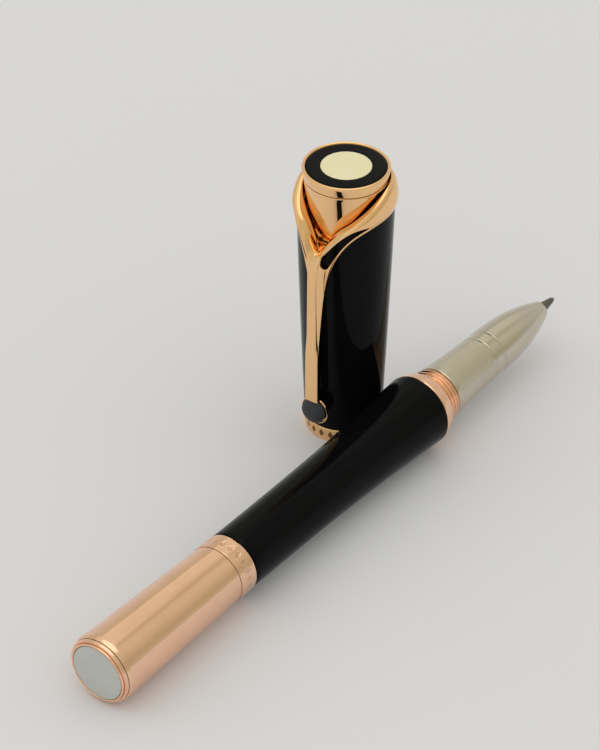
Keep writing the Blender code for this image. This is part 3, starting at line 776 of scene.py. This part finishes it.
def build_cap_top_disc():
    """The black disc with its round inlay let in."""
    low, high, _, _ = span("cap_top_disc", CAP)
    inlay = span("cap_top_inlay", CAP)[2]
    profile = [(0.0, high - 0.3), (inlay + 0.04, high - 0.3, 0.02), (inlay + 0.04, high, 0.03)]
    edge = span("cap_top_bezel", CAP)[2] - 0.56
    profile += [(inlay + 0.6, high), (edge - 0.3, high - 0.03), (edge, high - 0.12, 0.05), (edge, low)]
    profile += [(0.0, low)]
    lathe("cap_top_disc", fillet(profile, 0.03), CAP, False, HEAD_FINE)

    profile = [(0.0, high + 0.06)]
    profile += [(inlay * t, high + 0.06 - 0.05 * t ** 3) for t in spaced(0.1, 0.97, 12)]
    profile += [(inlay, high - 0.03), (inlay, high - 0.25), (0.0, high - 0.25)]
    lathe("cap_top_inlay", profile, CAP, False, INLAY_FINE)


# --------------------------------------------------------------------- collar and clip

# Angles in degrees from the clip, radii and heights in millimetres on the cap.
BLADE_TOP = 20.7
BLADE_END = span("clip_blade", CAP)[0]
BLADE_FACE = 9.75
BLADE_BACK = 8.85
BLADE_HALF_WIDTH = 1.27
BLADE_BEVEL = 0.17
COLLAR_SKIN = 0.03
FACE_COLUMNS = 2
WINDOW_FIRST = 3
WINDOW_LAST = 11
# Arms of the V: angle, radius and height of their inner edge, height of their crest.
ARMS = (
    (0.0, 7.10, 38.9, 39.3), (5.5, 6.75, 39.6, 40.3), (14.0, 6.50, 41.4, 42.2), (25.0, 6.45, 43.2, 44.0),
    (42.0, 6.45, 44.6, 45.5), (61.0, 6.95, 46.4, 47.4), (77.0, 7.10, 47.5, 48.8), (90.0, 7.15, 48.4, 49.8),
    (118.0, 7.35, 49.1, 50.5), (180.0, 7.60, 49.2, 50.5),
)
CREST_RADIUS = 7.45
COLLAR_LEVELS = 3
# Least outer radius at the window's round lower end, beside the clip's face.
WINDOW_FOOT = 9.0


def sweep_height(degrees):
    """Lower edge of the collar: level behind, then dropping steeply into the clip's side."""
    return 45.4 - 19.9 * math.exp(-degrees / 20.3) - 4.3 * math.exp(-(degrees - 6.2) / 3.6)


def arm(degrees, column):
    return float(np.interp(degrees, [row[0] for row in ARMS], [row[column] for row in ARMS]))


def inner_edge(degrees):
    """Radius and height of the arms' inner edge, where the crest has rolled in towards the cone."""
    return arm(degrees, 1), arm(degrees, 2)


def neck_height(degrees):
    """Crest of the collar: the V's arms, climbing to a level rim behind."""
    return arm(degrees, 3)


def channel_depth(degrees):
    return 2.4 - 1.7 * math.exp(-degrees / 12.0)


def window_low(degrees):
    """Lower edge of the drop-shaped window, a thin lip above the collar's lower edge."""
    return sweep_height(degrees) + 0.38 + 3.5 * math.exp(-(degrees - 11.0) / 4.0)


def window_high(degrees):
    return 45.05 - 6.1 * max(0.0, 1 - (degrees - 7.8) / 46.0) ** 2


def lip_radius(height):
    """Outer radius along the collar's lower edge: thick at the clip, thin at the sides."""
    return shell_radius(height) + 0.38 + 1.5 * math.exp(-(height - BLADE_TOP) / 6.0)


def band_radius(degrees):
    return 8.75 + 0.75 * math.exp(-((degrees / 22.0) ** 2))


CONE_FOOT, CONE_HEAD, CONE_TOP_RADIUS, _ = span("cap_cone", CAP)
CONE_FOOT_RADIUS = radius_at("cap_cone", CAP, CONE_FOOT)


def cone_radius(height):
    return between((height - CONE_FOOT) / (CONE_HEAD - CONE_FOOT), CONE_FOOT_RADIUS, CONE_TOP_RADIUS)


# Each column: angle at the lower edge, at the window's two edges and at the neck.
COLUMNS = (
    (0.0, 0.0, 0.0, 0.0), (3.9, 3.4, 3.4, 3.8), (7.6, 5.9, 6.2, 7.5), (8.5, 7.6, 8.0, 11.0),
    (10.0, 10.2, 11.5, 15.0), (12.2, 13.8, 16.5, 20.0), (15.5, 18.5, 22.5, 26.0), (20.0, 24.0, 29.5, 33.0),
    (27.0, 31.0, 38.0, 42.0), (36.0, 39.0, 46.0, 52.0), (47.0, 49.5, 54.0, 64.0), (60.0, 60.5, 61.5, 78.0),
    (76.0, 76.5, 77.5, 92.0), (95.0, 96.0, 97.0, 108.0), (117.0, 118.0, 118.0, 124.0),
    (139.0, 139.0, 139.0, 142.0), (160.0, 160.0, 160.0, 161.0), (180.0, 180.0, 180.0, 180.0),
)


def between(share, first, last):
    return first + (last - first) * share


def column_heights(index):
    """Heights of a column's lower edge, its window's two edges and its crest."""
    low_angle, first_angle, last_angle, top_angle = COLUMNS[index]
    low = BLADE_TOP if index <= FACE_COLUMNS else sweep_height(low_angle)
    first = window_low(first_angle)
    last = window_high(last_angle)
    if index <= FACE_COLUMNS:
        first, last = 35.6, 37.3
    if index == WINDOW_FIRST:
        first, last = 37.3, 38.9
    if index == WINDOW_FIRST + 1:
        first = 36.55
    if index >= WINDOW_LAST:
        first, last = low + 0.45, low + 0.75
    return low, first, last, neck_height(top_angle)


def outer_points(index):
    """From the lower edge up over the face to the crest."""
    low_angle, first_angle, last_angle, top_angle = COLUMNS[index]
    low, first, last, top = column_heights(index)
    on_face = index <= FACE_COLUMNS
    edge = BLADE_FACE if on_face else lip_radius(low)
    face = BLADE_FACE if on_face else lip_radius(low) + 0.06
    if index == FACE_COLUMNS:
        edge -= 0.1
    if index > WINDOW_LAST:
        edge, face = shell_radius(low) + 0.36, shell_radius(low) + 0.5
    band = band_radius(last_angle)
    crest = CREST_RADIUS + 0.55 * math.exp(-((top_angle / 14.0) ** 2))
    rise = top - last
    return [
        (edge, low_angle, low),
        (between(0.25, edge, face), between(0.12, low_angle, first_angle), between(0.12, low, first)),
        (face, between(0.6, low_angle, first_angle), between(0.6, low, first)),
        (max(face, WINDOW_FOOT) if index == WINDOW_FIRST else face, first_angle, first),
        (band, last_angle, last),
        (band + 0.12, between(0.35, last_angle, top_angle), last + 0.35 * rise),
        (between(0.35, band, crest), between(0.75, last_angle, top_angle), last + 0.84 * rise),
        (crest, top_angle, top - 0.02 * rise),
    ]


def inner_points(index):
    """Over the crest, down into the channel beside the cone and back under the shell's edge."""
    low_angle, first_angle, last_angle, top_angle = COLUMNS[index]
    low, first, last, top = column_heights(index)
    edge, height = inner_edge(top_angle)
    crest = CREST_RADIUS + 0.55 * math.exp(-((top_angle / 14.0) ** 2))
    floor = height - channel_depth(top_angle)
    foot = max(floor - 0.1, CONE_FOOT - 0.25)
    channel = cone_radius(max(foot, CONE_FOOT)) + 0.12
    skin = COLLAR_SKIN
    behind = shell_radius(min(last, SHELL_HIGH))
    back = BLADE_BACK if index <= FACE_COLUMNS else shell_radius(low) + skin
    return [
        (between(0.45, crest, edge), top_angle, between(0.15, top, height)),
        (between(0.88, crest, edge), top_angle, between(0.62, top, height)),
        (edge, top_angle, height - 0.1),
        (edge + 0.2, top_angle, between(0.4, height, floor)),
        (edge + 0.15, top_angle, floor),
        (channel, top_angle, foot),
        (channel, top_angle, foot - 0.35),
        (edge + 0.2, top_angle, floor - 0.35),
        (behind - SHELL_RIM - 0.06, last_angle, min(floor + 0.4, last - 0.6)),
        (behind - SHELL_RIM - 0.06, last_angle, last + 0.42),
        (behind + skin, last_angle, last + 0.36),
        (behind + skin, last_angle, last - 0.05),
        (shell_radius(first) + skin, first_angle, first),
        (back, low_angle, low),
    ]


# Places of the window's two edges among a column's points, outside and inside.
OUTER_WINDOW = (3, 4)
INNER_WINDOW = (19, 20)


def column_points(index):
    """Closed outline of one cage column."""
    return outer_points(index) + inner_points(index)


def cylinder_point(radius, degrees, height):
    angle = math.radians(degrees)
    return Vector((radius * math.cos(angle), radius * math.sin(angle), height)) * MM


def collar_loops(shape):
    """Cage columns all the way round, the clip's own column first."""
    half = len(COLUMNS)
    order = list(range(half)) + [-i for i in range(half - 2, 0, -1)]
    loops = []
    for index in order:
        side = -1.0 if index < 0 else 1.0
        points = column_points(abs(index))
        loops.append([shape.verts.new(cylinder_point(r, side * a, h)) for r, a, h in points])
    return loops, order


def add_blade(shape, upper, upper_back, sharp):
    """Strip of faces from the collar's front down to the blade's square end."""
    rows = [BLADE_TOP - 2.2, 16.5, 14.0, BLADE_END + 1.6, BLADE_END + 0.3, BLADE_END]
    inset = BLADE_HALF_WIDTH - BLADE_BEVEL
    for height in rows:
        last = height == BLADE_END
        face = BLADE_FACE - (0.12 if last else 0.0)
        row = []
        row_back = []
        for width in (-BLADE_HALF_WIDTH, -inset * 0.55, 0.0, inset * 0.55, BLADE_HALF_WIDTH):
            depth = face - (0.1 if abs(width) == BLADE_HALF_WIDTH else 0.0)
            row.append(shape.verts.new(Vector((depth, width, height)) * MM))
            row_back.append(shape.verts.new(Vector((BLADE_BACK, width, height)) * MM))
        for j in range(4):
            shape.faces.new((row[j], row[j + 1], upper[j + 1], upper[j]))
            shape.faces.new((row_back[j + 1], row_back[j], upper_back[j], upper_back[j + 1]))
        for j in (0, 4):
            shape.faces.new((row[j], row_back[j], upper_back[j], upper[j]))
            sharp += [(row[j], upper[j], 0.72), (row_back[j], upper_back[j], 0.6)]
        upper, upper_back = row, row_back
    for j in range(4):
        shape.faces.new((upper[j], upper_back[j], upper_back[j + 1], upper[j + 1]))
        sharp += [(upper[j], upper[j + 1], 0.8), (upper_back[j], upper_back[j + 1], 0.8)]


def collar_cage():
    """Coarse closed cage of the pierced collar with the clip's blade hanging from its front."""
    shape = bmesh.new()
    loops, order = collar_loops(shape)
    total = len(loops[0])
    count = len(order)
    sharp = []
    for i in range(count):
        here = loops[i]
        there = loops[(i + 1) % count]
        first, second = sorted((abs(order[i]), abs(order[(i + 1) % count])))
        pierced = WINDOW_FIRST <= first and second <= WINDOW_LAST
        for k in range(total - 1):
            if pierced and k in (OUTER_WINDOW[0], INNER_WINDOW[0]):
                continue
            shape.faces.new((here[k], there[k], there[k + 1], here[k + 1]))
        if pierced:
            for k, back in ((OUTER_WINDOW[0], INNER_WINDOW[1]), (OUTER_WINDOW[1], INNER_WINDOW[0])):
                shape.faces.new((here[k], there[k], there[back], here[back]))
                sharp.append((here[k], there[k], 0.55))
        if second > FACE_COLUMNS:
            shape.faces.new((here[total - 1], there[total - 1], there[0], here[0]))
            sharp.append((here[0], there[0], 0.5))
            sharp.append((here[total - 1], there[total - 1], 0.8))
    for i in range(count):
        if abs(order[i]) in (WINDOW_FIRST, WINDOW_LAST):
            here = loops[i]
            low, high = OUTER_WINDOW
            back_high, back_low = INNER_WINDOW
            shape.faces.new((here[low], here[high], here[back_high], here[back_low]))
            sharp.append((here[low], here[high], 0.55))
    positions = [count - 2, count - 1, 0, 1, 2]
    add_blade(shape, [loops[p][0] for p in positions], [loops[p][total - 1] for p in positions], sharp)
    crease = shape.edges.layers.float.new("crease_edge")
    for first, second, amount in sharp:
        edge = shape.edges.get((first, second))
        if edge:
            edge[crease] = amount
    bmesh.ops.recalc_face_normals(shape, faces=shape.faces)
    return shape


def subdivided(shape, levels):
    """Evaluate a subdivision surface over a cage and return the fine mesh."""
    mesh = bpy.data.meshes.new("collar_cage")
    shape.to_mesh(mesh)
    shape.free()
    cage = bpy.data.objects.new("collar_cage", mesh)
    bpy.context.scene.collection.objects.link(cage)
    smooth = cage.modifiers.new("smooth", "SUBSURF")
    smooth.levels = levels
    smooth.render_levels = levels
    bpy.context.view_layer.update()
    evaluated = cage.evaluated_get(bpy.context.evaluated_depsgraph_get())
    fine = bpy.data.meshes.new_from_object(evaluated)
    bpy.data.objects.remove(cage)
    return fine


def build_collar_and_clip():
    """One sheet of gold: the collar and the clip's blade as one mesh."""
    fine = subdivided(collar_cage(), COLLAR_LEVELS)
    fine.shade_smooth()
    obj = bpy.data.objects.new("collar_and_clip", fine)
    bpy.context.scene.collection.objects.link(obj)
    obj.matrix_world = CAP
    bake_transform(obj)
    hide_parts("cap_collar", "clip_blade")
    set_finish(obj, "yellow_gold")


def build_stone():
    """Domed stone in its cup; the profiles are (radius, reach from the cap's axis) points."""
    points = local_points("clip_stone", CAP)
    outer = points[:, 0].max()
    inner = points[:, 0].min()
    low, high, _, _ = span("clip_stone", CAP)
    radius = (high - low) / 2
    centre = Matrix.Translation((0.0, 0.0, (high + low) / 2 * MM))
    place = CAP @ centre @ Matrix.Rotation(math.pi / 2, 4, "Y")
    girdle = outer - 0.9
    profile = [(0.0, outer)]
    for t in spaced(0.06, 0.97, 28):
        angle = math.pi / 2 * t
        profile.append((radius * math.sin(angle), girdle + (outer - girdle) * math.cos(angle)))
    profile += [(radius, girdle - 0.05), (radius - 0.02, inner + 0.2)]
    profile += [(radius * 0.8, inner + 0.03), (0.0, inner)]
    lathe("clip_stone", profile, place, False, STONE_FINE)

    points = local_points("stone_setting", CAP)
    back = points[:, 0].min()
    front = points[:, 0].max()
    low, high, _, _ = span("stone_setting", CAP)
    rim = (high - low) / 2
    wall = radius + 0.12
    profile = [(0.0, back), (rim - 1.0, back, 0.5), (rim - 0.2, back + 0.3, 0.4)]
    profile += [(rim, front - 0.25, 0.2), (rim - 0.08, front, 0.06), (wall + 0.06, front, 0.05)]
    profile += [(wall, front - 0.3), (wall, inner - 0.05), (0.0, inner - 0.05)]
    lathe("stone_setting", fillet(profile, 0.05), place, False, STONE_FINE)


# ------------------------------------------------------------------- stage and lighting

FLOOR_HALF_SIZE = 3.0


def build_stage():
    mesh = bpy.data.meshes.new("floor")
    size = FLOOR_HALF_SIZE
    corners = [(-size, -size, 0), (size, -size, 0), (size, size, 0), (-size, size, 0)]
    mesh.from_pydata(corners, [], [(0, 1, 2, 3)])
    floor = bpy.data.objects.new("floor", mesh)
    bpy.context.scene.collection.objects.link(floor)
    result, tree, shader = node_tools("floor_paper")
    where = object_coordinates(tree)
    tint = mix_colour(tree, noise(tree, where, 8.0, 2.0), (0.80, 0.795, 0.785), (0.82, 0.815, 0.80))
    tree.links.new(tint, shader.inputs["Base Color"])
    shader.inputs["Roughness"].default_value = 0.9
    shader.inputs["Specular IOR Level"].default_value = 0.1
    mesh.materials.append(result)


# From the floor under the pen's rear end to the camera, in millimetres; angles in degrees.
CAMERA_OFFSET = Vector((-266.5, -245.9, 333.9))
CAMERA_HEADING = Vector((0.7904, 0.6125, 0.0))
CAMERA_PITCH = 36.85
CAMERA_ROLL = 0.12
CAMERA_LENS = 152.8


def build_camera():
    data = bpy.data.cameras.new("camera")
    data.lens = CAMERA_LENS
    data.sensor_width = 36.0
    data.clip_start = 0.01
    camera = bpy.data.objects.new("camera", data)
    bpy.context.scene.collection.objects.link(camera)
    rear = PEN.translation
    camera.location = Vector((rear.x, rear.y, 0.0)) + CAMERA_OFFSET * MM
    pitch = math.radians(CAMERA_PITCH)
    look = CAMERA_HEADING.normalized() * math.cos(pitch) - Vector((0, 0, math.sin(pitch)))
    spin = Matrix.Rotation(math.radians(CAMERA_ROLL), 4, "Z")
    camera.rotation_euler = (look.to_track_quat("-Z", "Y").to_matrix().to_4x4() @ spin).to_euler()
    bpy.context.scene.camera = camera


KEY_PLACE = Vector((-0.7, 0.9, 1.2))
KEY_SIZE = 1.4
KEY_WATTS = 1.6
KEY_COLOUR = (1.0, 0.97, 0.93)


def build_key_light():
    """Large soft lamp behind the pen; it lights matt surfaces and stays out of the reflections."""
    data = bpy.data.lights.new("key", "AREA")
    data.shape = "RECTANGLE"
    data.size = KEY_SIZE
    data.size_y = KEY_SIZE
    data.energy = KEY_WATTS
    data.color = KEY_COLOUR
    light = bpy.data.objects.new("key", data)
    bpy.context.scene.collection.objects.link(light)
    light.location = KEY_PLACE
    light.rotation_euler = (-KEY_PLACE).to_track_quat("-Z", "Y").to_euler()
    light.visible_glossy = False


# Brightness and warmth of the room around the pen's long axis, from the horizon in front
# of the pen (0 degrees) over the top (90) to the horizon behind it (180).
ROOM_BANDS = (
    (0, 0.58, 0.5), (10, 0.50, 0.9), (21, 0.47, 0.95), (41, 0.61, 0.8), (61, 0.68, 0.7), (73, 0.65, 0.7),
    (80, 0.54, 0.8), (86, 0.57, 0.8), (96, 0.70, 0.6), (110, 0.78, 0.55), (126, 0.74, 0.6), (133, 0.84, 0.45),
    (138, 0.55, 0.8), (155, 0.60, 0.5), (172, 0.64, 0.2), (180, 0.64, 0.1),
)
ROOM_NEUTRAL = (1.0, 1.0, 1.0)
ROOM_WARM = (1.0, 0.98, 0.72)
# The soft box overhead: its direction, edge and middle angle in degrees, and colour.
SOFT_BOX = ((0.1, 0.0, 0.99), 32.0, 20.0, (1.35, 1.30, 1.18))
# Colour of the room in line with the pen, and how far along X the bands fade into it.
ROOM_ENDS = (0.62, 0.615, 0.59)
ENDS_FADE = (0.75, 0.98)
WORLD_STRENGTH = 0.81
WORLD_TINT = (1.0, 0.997, 0.992)


def room_ramp(tree, angle):
    """Colour ramp of ROOM_BANDS; each stop mixes neutral and warm light."""
    ramp = tree.nodes.new("ShaderNodeValToRGB")
    ramp.color_ramp.interpolation = "B_SPLINE"
    stops = ramp.color_ramp.elements
    while len(stops) < len(ROOM_BANDS):
        stops.new(0.5)
    for stop, (degrees, level, warmth) in zip(stops, ROOM_BANDS):
        stop.position = degrees / 180.0
        colour = [level * (n + (w - n) * warmth) for n, w in zip(ROOM_NEUTRAL, ROOM_WARM)]
        stop.color = (*colour, 1.0)
    tree.links.new(angle, ramp.inputs["Fac"])
    return ramp.outputs["Color"]


def math_node(tree, operation, *values):
    node = tree.nodes.new("ShaderNodeMath")
    node.operation = operation
    for slot, value in zip(node.inputs, values):
        if isinstance(value, float):
            slot.default_value = value
        else:
            tree.links.new(value, slot)
    return node.outputs["Value"]


def soft_box(tree, where, room, direction, edge, middle, colour):
    """A soft-edged round card in the room; edge and middle are angles from its direction."""
    facing = tree.nodes.new("ShaderNodeVectorMath")
    facing.operation = "DOT_PRODUCT"
    facing.inputs[1].default_value = Vector(direction).normalized()
    tree.links.new(where, facing.inputs[0])
    low, high = math.cos(math.radians(edge)), math.cos(math.radians(middle))
    return mix_colour(tree, remap(tree, facing.outputs["Value"], 0.0, 1.0, low, high), room, colour)


def build_world():
    """Even neutral light for matt surfaces; a banded warm room for mirror reflections."""
    world = bpy.data.worlds.new("studio")
    bpy.context.scene.world = world
    world.use_nodes = True
    tree = world.node_tree
    where = tree.nodes.new("ShaderNodeTexCoord").outputs["Generated"]
    split = tree.nodes.new("ShaderNodeSeparateXYZ")
    tree.links.new(where, split.inputs["Vector"])
    forward = math_node(tree, "MULTIPLY", split.outputs["Y"], -1.0)
    angle = math_node(tree, "ARCTAN2", split.outputs["Z"], forward)
    bands = room_ramp(tree, math_node(tree, "DIVIDE", angle, math.pi))
    along = math_node(tree, "ABSOLUTE", split.outputs["X"])
    room = mix_colour(tree, remap(tree, along, 0.0, 1.0, *ENDS_FADE), bands, ROOM_ENDS)
    room = soft_box(tree, where, room, *SOFT_BOX)
    paths = tree.nodes.new("ShaderNodeLightPath")
    glossy = tree.nodes.new("ShaderNodeBackground")
    tree.links.new(room, glossy.inputs["Color"])
    matt = tree.nodes["Background"]
    matt.inputs["Color"].default_value = (*WORLD_TINT, 1.0)
    matt.inputs["Strength"].default_value = WORLD_STRENGTH
    switch = tree.nodes.new("ShaderNodeMixShader")
    tree.links.new(paths.outputs["Is Glossy Ray"], switch.inputs["Fac"])
    tree.links.new(matt.outputs["Background"], switch.inputs[1])
    tree.links.new(glossy.outputs["Background"], switch.inputs[2])
    tree.links.new(switch.outputs["Shader"], tree.nodes["World Output"].inputs["Surface"])


def build_pen():
    build_end_disc()
    build_end_bezel()
    build_rear_sleeve()
    build_rear_ring()
    build_barrel()
    build_front_ring()
    build_thread_bush()
    build_grip_section()
    build_nose_cone()
    build_writing_point()
    build_writing_ball()
    build_spring()


def build_cap():
    build_cap_rim_ring()
    build_cap_shell()
    build_cap_cone()
    build_cap_top_bezel()
    build_cap_top_disc()
    build_collar_and_clip()
    build_stone()


def main():
    build_pen()
    build_cap()
    made = {}
    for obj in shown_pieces():
        slot = obj.get("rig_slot") or SLOT_OF[obj["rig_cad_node"]]
        finish_with(obj, slot, made)
    build_stage()
    build_camera()
    build_world()
    build_key_light()
    bpy.context.scene.view_settings.view_transform = "Standard"


main()
